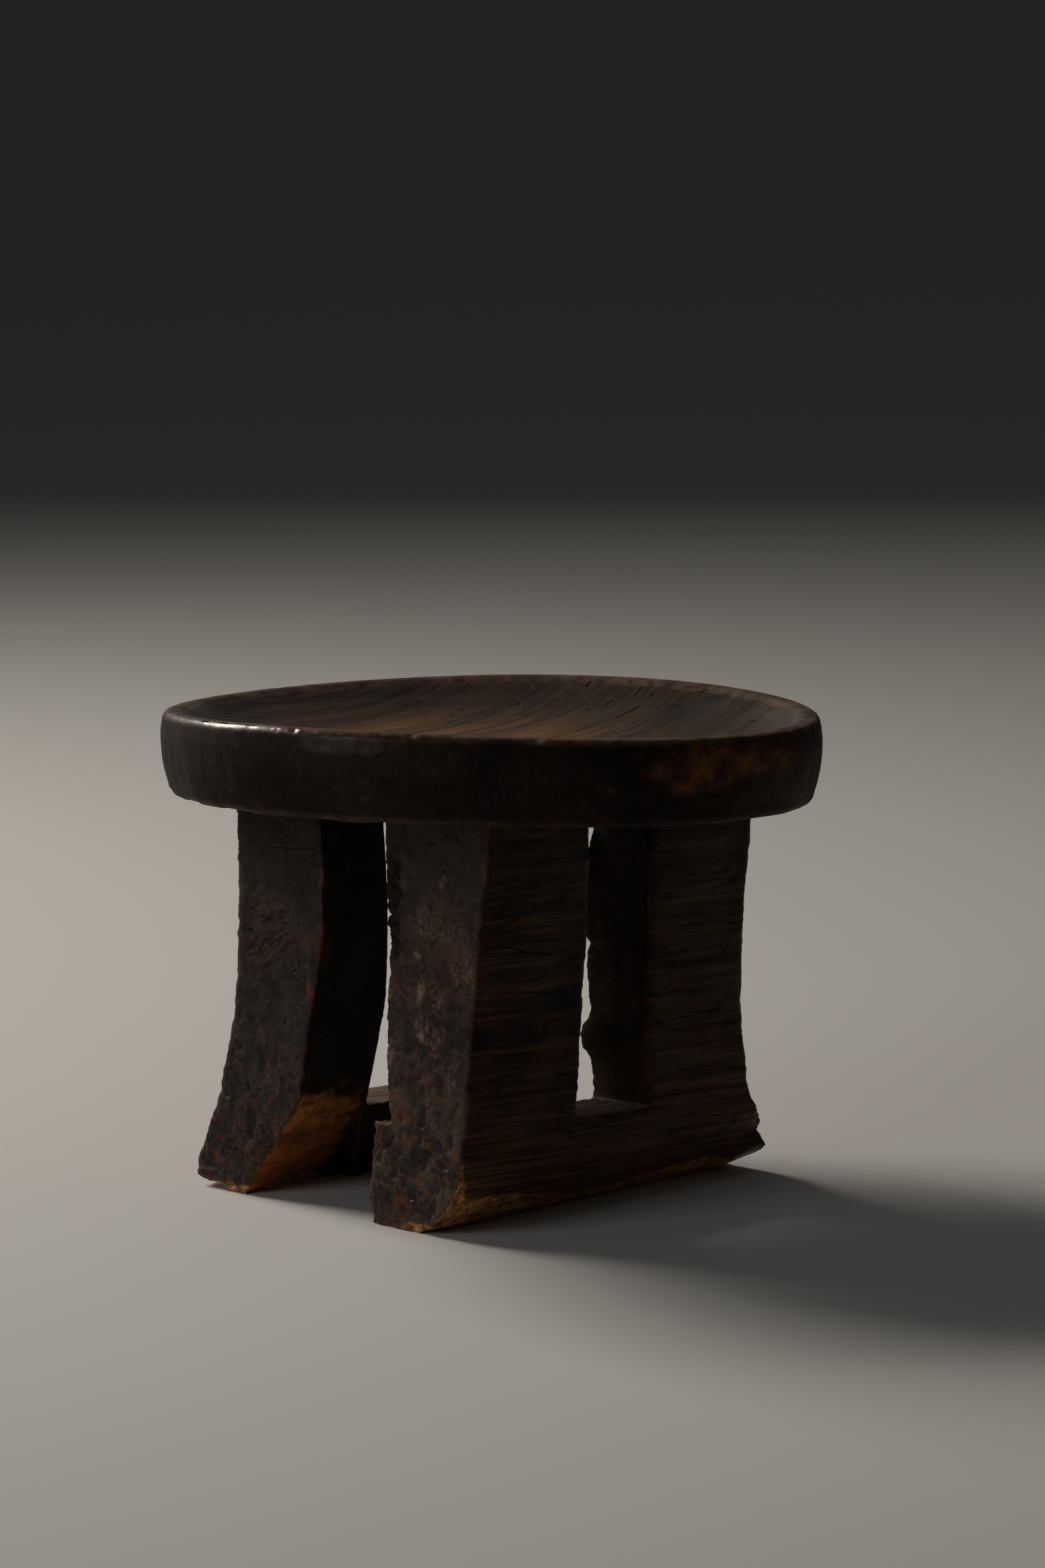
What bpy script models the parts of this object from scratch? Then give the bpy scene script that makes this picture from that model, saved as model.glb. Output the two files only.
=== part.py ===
"""A stool carved from one block of dark hardwood.

A thick round seat, dished on top, stands on two sled frames. Each frame is a front leg and a
rear leg with a tall slot between them, joined along the ground by a runner. The block is worn:
the soles have been ground away more at the rear, so that the whole carving leans a little.

Axes: +Z is up, X runs along the runners with the front at -X, and Y runs across the frames
with the right frame at -Y, as seen by someone who faces the front. Everything is carved in the
stool's own level frame, and one empty then gives it its lean. Metres throughout.
"""

import math

import bmesh
import bpy
import numpy as np
from mathutils import Matrix, Vector

NAME = "carved_stool"

# The gap left between neighbouring parts of the one block.
GAP = 0.0003

# Seat, on the stool's own axis.
SEAT_RADIUS = 0.180
LIP_HEIGHT = 0.258
SEAT_UNDERSIDE = 0.2102
LIP_WIDTH = 0.015
LIP_ROUNDING = 0.0045
LIP_OUTWARD_DRAW = 0.001
LIP_INNER_ROUNDING = 0.0055
DISH_DEPTH = 0.0245
DISH_CURVE = 3.9
DISH_STATIONS = 12
WALL_TOP_DROP = 0.012
WALL_TAPER = 0.0045
WALL_CURVE = 2.4
WALL_FOOT_ROUNDING = 0.0065
SEAT_STEPS = 72

# The underside rises a little towards the front, by this much for each metre.
UNDERSIDE_RISE = 0.0118

# How far the hand-cut lip rises and falls around the seat: twice a turn and once a turn, with
# the side where each is highest, and a rise all round.
LIP_SWING = 0.0030
LIP_HIGH_SIDE = math.radians(20)
LIP_TILT = 0.0011
LIP_TILT_SIDE = math.radians(25)
LIP_RISE = 0.0008

# The lean of the carving on the ground, about the middle of its lip.
LEAN_TO_REAR = math.radians(2.86)
LEAN_TO_LEFT = math.radians(1.95)

# Runner tops above the stool's own base level.
RIGHT_RUNNER_TOP = 0.046
LEFT_RUNNER_TOP = 0.039

# How far the sole is set below the ground before the ground cuts it flat.
SOLE_DEPTH = 0.002

ARRIS_ROUNDING = 0.0035
LEG_CUTS = (4, 3, 9)
RUNNER_CUTS = (18, 7, 4)

# Each frame's faces, as stations of (height, distance from the stool's middle). A smooth curve
# goes through them. front and rear are the end faces, outer faces away from the other frame,
# inner_* are the corners of the face towards it, at the ends and at the slot, and slot_* are
# the walls of the slot.
RIGHT = {
    "side": -1,
    "runner_top": RIGHT_RUNNER_TOP,
    "outer": ((0.010, 0.0945), (0.045, 0.0920), (0.090, 0.0895), (0.150, 0.0915), (0.210, 0.0955)),
    "front": ((0.005, 0.1190), (0.050, 0.1123), (0.090, 0.1060), (0.150, 0.1021), (0.210, 0.0985)),
    "rear": ((0.005, 0.1215), (0.045, 0.1145), (0.080, 0.1090), (0.150, 0.1075), (0.210, 0.1090)),
    "inner_front": ((0.045, 0.0360), (0.075, 0.0300), (0.160, 0.0215), (0.210, 0.0148)),
    "inner_rear": ((0.045, 0.0370), (0.075, 0.0320), (0.160, 0.0240), (0.210, 0.0170)),
    "inner_slot": ((0.045, 0.0460), (0.080, 0.0420), (0.140, 0.0435), (0.210, 0.0450)),
    "slot_front": ((0.045, 0.0260), (0.080, 0.0204), (0.115, 0.0188), (0.148, 0.0173), (0.210, 0.0212)),
    "slot_rear": ((0.045, 0.0322), (0.100, 0.0310), (0.150, 0.0295), (0.210, 0.0280)),
    # The runner's inner face, as (distance along, distance from the middle), top and bottom.
    "inner_top": ((-0.118, 0.0237), (-0.075, 0.033), (0.0, 0.0484), (0.075, 0.035), (0.118, 0.025)),
    "inner_sole": ((-0.118, 0.025), (-0.075, 0.0345), (0.0, 0.050), (0.075, 0.0365), (0.118, 0.0265)),
    # How the outer edge of the sole is worn round.
    "wear_width": 0.0380,
    "wear_height": 0.0300,
    "wear_curve": 2.4,
}
LEFT = {
    "side": 1,
    "runner_top": LEFT_RUNNER_TOP,
    "outer": ((0.008, 0.1070), (0.046, 0.0967), (0.095, 0.0908), (0.146, 0.0923), (0.210, 0.1030)),
    "front": ((0.005, 0.1180), (0.046, 0.1132), (0.095, 0.1072), (0.146, 0.1027), (0.210, 0.0950)),
    "rear": ((0.005, 0.1130), (0.045, 0.1060), (0.090, 0.1010), (0.150, 0.1000), (0.210, 0.1020)),
    "inner_front": ((0.038, 0.0322), (0.093, 0.0293), (0.130, 0.0249), (0.167, 0.0271), (0.210, 0.0355)),
    "inner_rear": ((0.038, 0.0380), (0.093, 0.0310), (0.150, 0.0280), (0.210, 0.0350)),
    "inner_slot": ((0.038, 0.0520), (0.130, 0.0510), (0.210, 0.0516)),
    "slot_front": ((0.038, 0.0415), (0.066, 0.0340), (0.098, 0.0268), (0.130, 0.0257), (0.210, 0.0300)),
    "slot_rear": ((0.038, 0.0320), (0.150, 0.0290), (0.210, 0.0300)),
    "inner_top": ((-0.118, 0.0322), (-0.060, 0.047), (0.0, 0.055), (0.060, 0.050), (0.118, 0.042)),
    "inner_sole": ((-0.118, 0.048), (-0.060, 0.056), (0.0, 0.066), (0.060, 0.060), (0.118, 0.048)),
    "wear_width": 0.0340,
    "wear_height": 0.0060,
    "wear_curve": 1.2,
}

# The ends of a sole are worn round as well.
END_WEAR_WIDTH = 0.010
END_WEAR_HEIGHT = 0.002

# The inner corner of the left front foot has split away along a slanting plane.
BREAK_POINT = Vector((-0.094, 0.040, 0.0402))
BREAK_NORMAL = Vector((0.12, -0.84, -0.525))
BREAK_SIZE = Vector((0.085, 0.090, 0.060))
BREAK_REAR_END = -0.056

# name: (colour, roughness)
WOOD = {
    "seat": ((0.060, 0.036, 0.024), 0.42),
    "right_front_leg": ((0.066, 0.046, 0.034), 0.55),
    "right_rear_leg": ((0.052, 0.033, 0.024), 0.55),
    "right_runner": ((0.058, 0.038, 0.026), 0.60),
    "left_front_leg": ((0.056, 0.046, 0.040), 0.50),
    "left_rear_leg": ((0.048, 0.034, 0.027), 0.55),
    "left_runner": ((0.070, 0.045, 0.028), 0.60),
}


def clear_scene():
    for item in list(bpy.data.objects):
        bpy.data.objects.remove(item, do_unlink=True)


def new_collection(name):
    found = bpy.data.collections.new(name)
    bpy.context.scene.collection.children.link(found)
    return found


def wood(name):
    """The patina of one part of the block."""
    colour, roughness = WOOD[name]
    made = bpy.data.materials.new(name + "_wood")
    made.use_nodes = True
    shader = made.node_tree.nodes["Principled BSDF"]
    shader.inputs["Base Color"].default_value = (*colour, 1.0)
    shader.inputs["Roughness"].default_value = roughness
    shader.inputs["Metallic"].default_value = 0.0
    made.diffuse_color = (*colour, 1.0)
    return made


def smooth_through(stations, at):
    """The value at a place on a smooth curve through the stations, held past its ends."""
    places = np.array([place for place, value in stations])
    values = np.array([value for place, value in stations])
    slopes = np.gradient(values, places)
    i = int(np.clip(np.searchsorted(places, at) - 1, 0, len(places) - 2))
    span = places[i + 1] - places[i]
    t = float(np.clip((at - places[i]) / span, 0.0, 1.0))
    rise = values[i + 1] - values[i]
    start = slopes[i] * span
    end = slopes[i + 1] * span
    bend = (3 * rise - 2 * start - end) * t**2
    return float(values[i] + start * t + bend + (start + end - 2 * rise) * t**3)


def lean():
    """The turn that sets the level carving down on its worn soles, about the middle of the lip."""
    turn = Matrix.Rotation(LEAN_TO_REAR, 4, "Y") @ Matrix.Rotation(-LEAN_TO_LEFT, 4, "X")
    middle = Matrix.Translation((0.0, 0.0, LIP_HEIGHT))
    return middle @ turn @ middle.inverted()


def ground_height(x, y):
    """The ground's height in the stool's own frame, under a point of it."""
    leaning = lean()
    rise = leaning[2]
    return -(rise[0] * x + rise[1] * y + rise[3]) / rise[2]


def arc(centre, radius, start, end, steps):
    """Points of an arc in the (radius, height) plane, with angles in degrees from outwards to up."""
    return [
        (
            centre[0] + radius * math.cos(math.radians(start + (end - start) * i / steps)),
            centre[1] + radius * math.sin(math.radians(start + (end - start) * i / steps)),
        )
        for i in range(steps + 1)
    ]


def seat_profile():
    """The seat's section from the middle of the dish, over the lip, to the middle of its underside."""
    dish_radius = SEAT_RADIUS - LIP_WIDTH
    edge_slope = math.degrees(math.atan(DISH_CURVE * DISH_DEPTH / dish_radius))
    inner_centre = (dish_radius + LIP_INNER_ROUNDING, LIP_HEIGHT - LIP_INNER_ROUNDING)
    lip_inner = arc(inner_centre, LIP_INNER_ROUNDING, 90 + edge_slope, 90, 3)
    edge_radius, edge_height = lip_inner[0]
    floor_height = LIP_HEIGHT - DISH_DEPTH
    points = []
    for i in range(DISH_STATIONS):
        share = i / DISH_STATIONS
        points.append((share * edge_radius, floor_height + (edge_height - floor_height) * share**DISH_CURVE))
    points += lip_inner
    outer_centre = (SEAT_RADIUS - LIP_ROUNDING - LIP_OUTWARD_DRAW, LIP_HEIGHT - LIP_ROUNDING)
    points += arc(outer_centre, LIP_ROUNDING, 90, 10, 4)
    wall_top = LIP_HEIGHT - WALL_TOP_DROP
    wall_foot = SEAT_UNDERSIDE + WALL_FOOT_ROUNDING
    for i in range(6):
        share = i / 5
        radius = SEAT_RADIUS - WALL_TAPER * share**WALL_CURVE
        points.append((radius, wall_top + (wall_foot - wall_top) * share))
    foot_centre = (SEAT_RADIUS - WALL_TAPER - WALL_FOOT_ROUNDING, wall_foot)
    points += arc(foot_centre, WALL_FOOT_ROUNDING, -15, -90, 4)
    points += [(0.110, SEAT_UNDERSIDE), (0.055, SEAT_UNDERSIDE), (0.0, SEAT_UNDERSIDE)]
    return points


def lip_lift(angle):
    """How far the lip stands above its mean height, at an angle around the seat."""
    swing = LIP_SWING * math.cos(2 * (angle - LIP_HIGH_SIDE))
    return swing + LIP_TILT * math.cos(angle - LIP_TILT_SIDE) + LIP_RISE


def underside_lift(x):
    """How far the underside stands above its mean height."""
    return -UNDERSIDE_RISE * x


def add_seat(collection, parent):
    """A turned disc, then the swing of its hand-cut lip."""
    profile = bpy.data.meshes.new("seat_profile")
    points = seat_profile()
    profile.from_pydata(
        [(radius, 0.0, height - SEAT_UNDERSIDE) for radius, height in points],
        [(i, i + 1) for i in range(len(points) - 1)],
        [],
    )
    turned = bpy.data.objects.new("seat_turned", profile)
    collection.objects.link(turned)
    screw = turned.modifiers.new("turn", "SCREW")
    screw.axis = "Z"
    screw.steps = SEAT_STEPS
    screw.render_steps = SEAT_STEPS
    screw.use_merge_vertices = True
    screw.merge_threshold = 0.00001
    graph = bpy.context.evaluated_depsgraph_get()
    mesh = bpy.data.meshes.new_from_object(turned.evaluated_get(graph))
    bpy.data.objects.remove(turned)
    for vertex in mesh.vertices:
        x, y, z = vertex.co
        share = z / (LIP_HEIGHT - SEAT_UNDERSIDE)
        out = (math.hypot(x, y) / SEAT_RADIUS) ** 2
        vertex.co.z += share * out * lip_lift(math.atan2(y, x)) + (1 - share) * underside_lift(x)
    return finish("seat", mesh, collection, parent, Vector((0.0, 0.0, SEAT_UNDERSIDE)))


def finish(name, mesh, collection, parent, location):
    """The object of a mesh, with its wood and its place in the stool's frame."""
    mesh.name = name
    made = bpy.data.objects.new(name, mesh)
    collection.objects.link(made)
    made.parent = parent
    made.location = location
    mesh.materials.clear()
    mesh.materials.append(wood(name))
    mesh.shade_smooth()
    mesh.set_sharp_from_angle(angle=math.radians(38))
    return made


def cut_block(cuts):
    """A unit cube from 0 to 1, cut by evenly spaced planes along each axis."""
    block = bmesh.new()
    bmesh.ops.create_cube(block, size=1.0, matrix=Matrix.Translation((0.5, 0.5, 0.5)))
    for axis, count in enumerate(cuts):
        normal = Vector((0.0, 0.0, 0.0))
        normal[axis] = 1.0
        for i in range(1, count):
            everything = block.verts[:] + block.edges[:] + block.faces[:]
            bmesh.ops.bisect_plane(block, geom=everything, plane_co=normal * i / count, plane_no=normal)
    return block


def mark_uprights(block):
    """Gives the block's four upright corner edges a bevel weight."""
    weight = block.edges.layers.float.new("bevel_weight_edge")
    for edge in block.edges:
        ends = [vertex.co for vertex in edge.verts]
        upright = abs(ends[0].z - ends[1].z) > 1e-6
        at_corner = all(min(co.x, 1 - co.x) < 1e-6 and min(co.y, 1 - co.y) < 1e-6 for co in ends)
        if upright and at_corner:
            edge[weight] = 1.0


def carve(name, cuts, place, location, collection, parent):
    """A block whose every point (s, t, w) goes where place puts it, with its uprights rounded."""
    block = cut_block(cuts)
    mark_uprights(block)
    for vertex in block.verts:
        vertex.co = Vector(place(*vertex.co)) - location
    if block.calc_volume(signed=True) < 0:
        bmesh.ops.reverse_faces(block, faces=block.faces)
    mesh = bpy.data.meshes.new(name)
    block.to_mesh(mesh)
    block.free()
    made = finish(name, mesh, collection, parent, location)
    rounding = made.modifiers.new("arrises", "BEVEL")
    rounding.limit_method = "WEIGHT"
    rounding.width = ARRIS_ROUNDING
    rounding.segments = 2
    return made


def add_leg(name, frame, end, collection, parent):
    """One leg. s runs from its end face to the slot, t from outside to inside, w upwards."""
    along = -1 if end == "front" else 1
    bottom = frame["runner_top"] + GAP

    def place(s, t, w):
        z = bottom + (SEAT_UNDERSIDE - GAP - bottom) * w
        end_x = smooth_through(frame[end], z)
        slot_x = smooth_through(frame["slot_" + end], z)
        x = end_x + (slot_x - end_x) * s
        outer_y = smooth_through(frame["outer"], z)
        inner_end = smooth_through(frame["inner_" + end], z)
        inner_y = inner_end + (smooth_through(frame["inner_slot"], z) - inner_end) * s
        y = frame["side"] * (outer_y + (inner_y - outer_y) * t)
        return along * x, y, z + underside_lift(along * x) * w

    location = Vector((along * 0.065, frame["side"] * 0.065, bottom))
    return carve(name, LEG_CUTS, place, location, collection, parent)


def sole_wear(frame, from_outside, from_end):
    """How far the worn sole stands clear of the ground near its outer edge and its ends."""
    across = max(0.0, 1 - from_outside / frame["wear_width"])
    endways = max(0.0, 1 - from_end / END_WEAR_WIDTH)
    return frame["wear_height"] * across ** frame["wear_curve"] + END_WEAR_HEIGHT * endways**2


def add_runner(name, frame, floor, collection, parent):
    """The bar along the ground. s runs from front to rear, t from outside to inside, w upwards."""
    top = frame["runner_top"]

    def place(s, t, w):
        # The cuts crowd towards the outside, where the sole is worn round.
        t = t**1.5
        z = top * w
        front_x = -smooth_through(frame["front"], z)
        rear_x = smooth_through(frame["rear"], z)
        x = front_x + (rear_x - front_x) * s
        outer_y = smooth_through(frame["outer"], z)
        inner_sole = smooth_through(frame["inner_sole"], x)
        inner_y = inner_sole + (smooth_through(frame["inner_top"], x) - inner_sole) * w
        y = frame["side"] * (outer_y + (inner_y - outer_y) * t)
        from_end = min(x - front_x, rear_x - x)
        clear = sole_wear(frame, outer_y - abs(y), from_end) - SOLE_DEPTH
        bottom = ground_height(x, y) + clear
        return x, y, bottom + (top - bottom) * w

    location = Vector((0.0, frame["side"] * 0.065, top))
    made = carve(name, RUNNER_CUTS, place, location, collection, parent)
    cut(made, floor)
    return made


def cut(made, cutter):
    """Cuts one solid away from another."""
    boolean = made.modifiers.new(cutter.name, "BOOLEAN")
    boolean.operation = "DIFFERENCE"
    boolean.solver = "EXACT"
    boolean.object = cutter


def add_cutter(name, size, collection):
    """A box that only cuts."""
    bpy.ops.mesh.primitive_cube_add(size=1.0)
    cutter = bpy.context.active_object
    cutter.name = name
    for other in list(cutter.users_collection):
        other.objects.unlink(cutter)
    collection.objects.link(cutter)
    cutter.data.transform(Matrix.Diagonal((*size, 1.0)))
    cutter.hide_render = True
    cutter.display_type = "WIRE"
    return cutter


def add_floor(collection):
    """The level ground, which cuts the soles flat."""
    depth = 0.05
    floor = add_cutter("ground", (0.5, 0.5, depth), collection)
    floor.location = (0.0, 0.0, -depth / 2)
    return floor


def add_break(collection):
    """The slanting plane that the left front foot's inner corner split along."""
    cutter = add_cutter("foot_break", BREAK_SIZE, collection)
    normal = BREAK_NORMAL.normalized()
    along = Vector((1.0, 0.0, 0.0))
    along = (along - normal * along.dot(normal)).normalized()
    down = normal.cross(along)
    turn = Matrix((along, down, normal)).transposed().to_4x4()
    middle = BREAK_POINT + normal * BREAK_SIZE.z / 2
    middle += along * ((BREAK_REAR_END - BREAK_SIZE.x / 2 - middle.x) / along.x)
    cutter.matrix_world = Matrix.Translation(middle) @ turn
    return cutter


def main():
    clear_scene()
    parts = new_collection(NAME)
    cutters = new_collection("cutters")

    stance = bpy.data.objects.new("stance", None)
    parts.objects.link(stance)
    stance.matrix_world = lean()

    floor = add_floor(cutters)
    foot_break = add_break(cutters)

    add_seat(parts, stance)
    for word, frame in (("right", RIGHT), ("left", LEFT)):
        for end in ("front", "rear"):
            add_leg(f"{word}_{end}_leg", frame, end, parts, stance)
        add_runner(f"{word}_runner", frame, floor, parts, stance)

    cut(bpy.data.objects["left_front_leg"], foot_break)
    cut(bpy.data.objects["left_runner"], foot_break)


main()
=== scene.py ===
"""The looks of a stool carved from one block of dark hardwood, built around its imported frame.

The frame's seven solids become three continuous carved surfaces: the seat, the right frame and the
left frame. Each is remeshed finely, then worked in code as the carver, the grain and long use
worked it: adze ridges along the grain, pitted end grain, ragged and nicked arrises, ground soles
and one split foot. What happened to each spot is kept on the mesh as attributes, which the wood's
material reads. Metres throughout.
"""

import math

import bmesh
import bpy
import numpy as np
from mathutils import Matrix, Vector


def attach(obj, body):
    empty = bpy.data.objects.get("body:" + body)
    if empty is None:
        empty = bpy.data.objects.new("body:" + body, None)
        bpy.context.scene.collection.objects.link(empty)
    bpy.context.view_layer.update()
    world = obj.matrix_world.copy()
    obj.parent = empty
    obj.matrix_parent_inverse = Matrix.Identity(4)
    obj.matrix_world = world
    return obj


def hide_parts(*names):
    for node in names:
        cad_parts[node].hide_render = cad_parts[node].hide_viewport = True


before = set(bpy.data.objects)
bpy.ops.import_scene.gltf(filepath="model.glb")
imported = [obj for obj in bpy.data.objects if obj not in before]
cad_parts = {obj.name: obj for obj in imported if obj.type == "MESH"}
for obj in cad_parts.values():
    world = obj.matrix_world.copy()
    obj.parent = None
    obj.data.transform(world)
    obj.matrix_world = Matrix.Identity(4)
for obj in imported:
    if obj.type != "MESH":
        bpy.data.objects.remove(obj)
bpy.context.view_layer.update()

# The carving leans on its worn soles, about the middle of its lip. Its own level frame is where
# its grain, its slots and its tool marks line up.
LIP_HEIGHT = 0.258
LEAN_TO_REAR = math.radians(2.86)
LEAN_TO_LEFT = math.radians(1.95)
SEAT_RADIUS = 0.180
LIP_WIDTH = 0.015
SEAT_UNDERSIDE = 0.211

# How far a leg runs on into the seat and into its runner, past the frame's small gaps.
INTO_SEAT = 0.004
INTO_RUNNER = 0.0012

SEAT_VOXEL = 0.00135
FRAME_VOXEL = 0.00125

# The plane that the left front foot split along, and where the split ends to the rear and upwards.
BREAK_POINT = np.array((-0.094, 0.040, 0.0402))
BREAK_NORMAL = np.array((0.12, -0.84, -0.525))
BREAK_REAR_END = -0.056
BREAK_TOP_END = 0.0570

# How far the inner arris of the right rear leg's slot has crumbled away from the slot, as
# (height, distance). Where it is negative the arris stands out, most at a knot.
CRUMBLED = (
    (0.048, 0.0012),
    (0.056, 0.0012),
    (0.062, 0.0020),
    (0.067, 0.0008),
    (0.0705, -0.0010),
    (0.074, -0.0034),
    (0.078, -0.0044),
    (0.082, -0.0050),
    (0.086, -0.0036),
    (0.089, 0.0000),
    (0.095, 0.0030),
    (0.101, 0.0026),
    (0.108, 0.0014),
    (0.117, 0.0002),
    (0.126, 0.0000),
    (0.132, 0.0004),
    (0.139, -0.0026),
    (0.170, -0.0026),
    (0.182, -0.0010),
    (0.192, 0.0040),
)

# Where that slot's rear wall is, and how deep behind it the wood moves with the arris.
SLOT_REAR_WALL = 0.032
CRUMBLED_DEPTH = 0.020

# How far the right front leg's inner arris swells inwards.
INNER_ARRIS_SWELL = 0.0020

# How far the right frame's heel stands out past its solid's rounded lower edge, as (height,
# distance). The solid's outer face is at HEEL_SIDE, and slopes in below HEEL_ROUNDED_FROM. The move
# fades out over HEEL_LENGTH forwards and HEEL_WIDTH inwards.
HEEL = (
    (0.000, 0.0005),
    (0.003, 0.0035),
    (0.006, 0.0032),
    (0.009, 0.0075),
    (0.012, 0.0100),
    (0.015, 0.0100),
    (0.018, 0.0055),
    (0.023, -0.0018),
    (0.028, -0.0014),
    (0.036, 0.0000),
)
HEEL_SIDE = -0.101
HEEL_ROUNDED_FROM = 0.024
HEEL_SLOPE = 0.85
HEEL_LENGTH = 0.036
HEEL_WIDTH = 0.026

# The right front foot's inner corner is worn round: how far that reaches along, across and up, and
# how far it moves the corner itself.
CORNER_REACH = (0.016, 0.014, 0.014)
CORNER_SHIFT = (0.0018, -0.0034, 0.0)

# How high above the ground the right frame's outer lower edge is worn to bare wood, as (place along
# it, height).
WORN_EDGE = (
    (-0.120, 0.0180),
    (-0.074, 0.0160),
    (-0.038, 0.0106),
    (0.000, 0.0050),
    (0.034, 0.0078),
    (0.091, 0.0108),
    (0.120, 0.0050),
)

# Where insects have bored the right front leg's inner arris: heights, how wide, and how far that
# leg's inner face is from the stool's middle.
BORED_FROM = 0.132
BORED_TO = 0.188
BORED_WIDTH = 0.0090
INNER_FACE = 0.0235

# The marks on the front end faces stay in front of this.
FRONT_ENDS = -0.08

# Pale scars on the right front leg's end face: across, up, and half sizes.
SCARS = (
    (-0.0505, 0.117, 0.0030, 0.0062),
    (-0.0470, 0.136, 0.0030, 0.0024),
    (-0.0530, 0.094, 0.0022, 0.0040),
    (-0.0620, 0.177, 0.0026, 0.0045),
)

# Drying cracks in the dish, from end to end, with their widths, and insect holes, seen from above.
CRACKS = (
    ((0.1265, 0.0259), (0.1441, 0.0236), 0.0011),
    ((0.1380, 0.0437), (0.1417, 0.0440), 0.0010),
    ((0.1530, 0.0353), (0.1587, 0.0364), 0.0009),
    ((0.1630, -0.0055), (0.1685, -0.0094), 0.0017),
    ((0.1288, -0.0700), (0.1300, -0.0765), 0.0010),
    ((0.1460, 0.0668), (0.1560, 0.0672), 0.0010),
    ((0.1010, 0.0300), (0.1080, 0.0302), 0.0006),
)
HOLES = (
    (0.1290, 0.0484),
    (0.1553, 0.0254),
    (0.1368, 0.0249),
    (0.1300, 0.1060),
    (0.1120, 0.0880),
    (0.0720, 0.1270),
)

# A broad dark stripe of the grain in the dish, in two stretches with their widths, and the middle of
# a warm pool of light painted in the dish.
STRIPES = (
    ((0.170, -0.024, 0.0), (0.149, -0.012, 0.0), 0.0080),
    ((0.149, -0.012, 0.0), (0.088, -0.003, 0.0), 0.0070),
)
DISH_LIGHT_POOL = (0.040, 0.056)

# Rust-red stains on the front end faces, as (left frame or not, across, up, half across, half up).
STAINS = (
    (True, 0.0275, 0.1310, 0.0040, 0.0085),
    (True, 0.0330, 0.1090, 0.0035, 0.0055),
    (True, 0.0380, 0.1340, 0.0045, 0.0050),
    (False, -0.0500, 0.0080, 0.0080, 0.0050),
    (False, -0.0620, 0.0180, 0.0050, 0.0060),
    (False, -0.0440, 0.0500, 0.0080, 0.0050),
)

# The seat's wall and lip, by direction in degrees: a warm worn patch and its height, a notch, a
# handled sheen on the wall, and one along the arrises, as (direction, half width) twice.
WARM_WALL = (-92.0, 0.241)
LIP_NOTCH = -128.0
SHEEN_WALL = -160.0
SHEEN_ARRISES = ((-168.0, 46.0), (172.0, 36.0))

# How far an arris stands out again, as a share of what the remeshing rounded away.
ARRIS_SHARPENING = 0.9

# Short knife cuts on the left front leg's end face: the patch's middle across and up, its half
# sizes, and how steeply the cuts rise.
CUTS_MIDDLE = (0.068, 0.138)
CUTS_HALF = (0.021, 0.024)
CUTS_RISE = math.radians(26)

# The old resin and grease of the patina gives its weak reflections a warm tint.
RESIN_TINT = (1.0, 0.86, 0.74, 1.0)
FRAME_SPECULAR = 0.18
SEAT_SPECULAR = 0.17

# Multiplying a place by one of these flattens it, to draw on the dish or on an end face.
SEEN_FROM_ABOVE = (1.0, 1.0, 0.0)
SEEN_FROM_FRONT = (0.0, 1.0, 1.0)

# The camera's place, the direction that it looks in, and its focal length in millimetres.
CAMERA_PLACE = Vector((-2.691, -2.622, 0.830))
CAMERA_LOOK = Vector((0.7099, 0.6856, -0.1611))
CAMERA_LENS = 160.7


# ---- Small mathematics ----


def level_turn():
    """The rotation from the stool's own level frame to the ground's, as a 3 x 3 array."""
    turn = Matrix.Rotation(LEAN_TO_REAR, 3, "Y") @ Matrix.Rotation(-LEAN_TO_LEFT, 3, "X")
    return np.array(turn)


TURN = level_turn()
LIP_MIDDLE = np.array((0.0, 0.0, LIP_HEIGHT))


def to_level(points):
    """Points of the ground's frame, in the stool's own level frame."""
    return (points - LIP_MIDDLE) @ TURN + LIP_MIDDLE


def from_level(points):
    return (points - LIP_MIDDLE) @ TURN.T + LIP_MIDDLE


def ramp(value, low, high):
    """0 below low, 1 above high, and a smooth rise between them."""
    t = np.clip((value - low) / (high - low), 0.0, 1.0)
    return t * t * (3 - 2 * t)


def bump_at(value, middle, half_width):
    """1 at the middle, and a smooth fall to 0 half_width away on both sides."""
    return 1 - ramp(np.abs(value - middle), 0.0, half_width)


def from_table(table, places):
    """The table's value at each place, on straight lines between its rows of (place, value)."""
    return np.interp(places, *np.array(table).T)


def lattice(cell, seed):
    """A fixed pseudo-random number from 0 to 1 for each whole-numbered cell."""
    mixed = cell[:, 0] * 374761393 + cell[:, 1] * 668265263 + cell[:, 2] * 2147483647
    mixed = (mixed + seed * 1274126177) & 0xFFFFFFFF
    mixed = ((mixed ^ (mixed >> 13)) * 1274126177) & 0xFFFFFFFF
    mixed = ((mixed ^ (mixed >> 15)) * 2246822519) & 0xFFFFFFFF
    return ((mixed ^ (mixed >> 16)) & 0xFFFFFF) / 0x1000000


def noise(points, size, seed):
    """Smooth noise from -1 to 1. size is how far apart its lumps are, in all or in each direction."""
    places = points / np.asarray(size, float)
    cell = np.floor(places).astype(np.int64)
    f = places - cell
    f = f * f * f * (f * (f * 6 - 15) + 10)
    total = np.zeros(len(points))
    for corner in range(8):
        step = np.array([(corner >> k) & 1 for k in range(3)])
        share = np.prod(np.where(step == 1, f, 1 - f), axis=1)
        total += share * lattice(cell + step, seed)
    return 2 * total - 1


def fractal(points, size, seed, octaves=3):
    """Noise with finer noise on it, each octave half as large and half as strong."""
    size = np.asarray(size, float)
    total = np.zeros(len(points))
    for i in range(octaves):
        total += noise(points, size / 2**i, seed + 17 * i) / 2**i
    return total


def creases(points, size, seed, width):
    """Thin lines from 0 to 1, where noise passes through zero."""
    return np.clip(1 - np.abs(noise(points, size, seed)) / width, 0.0, 1.0)


# ---- Meshes as arrays ----


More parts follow.
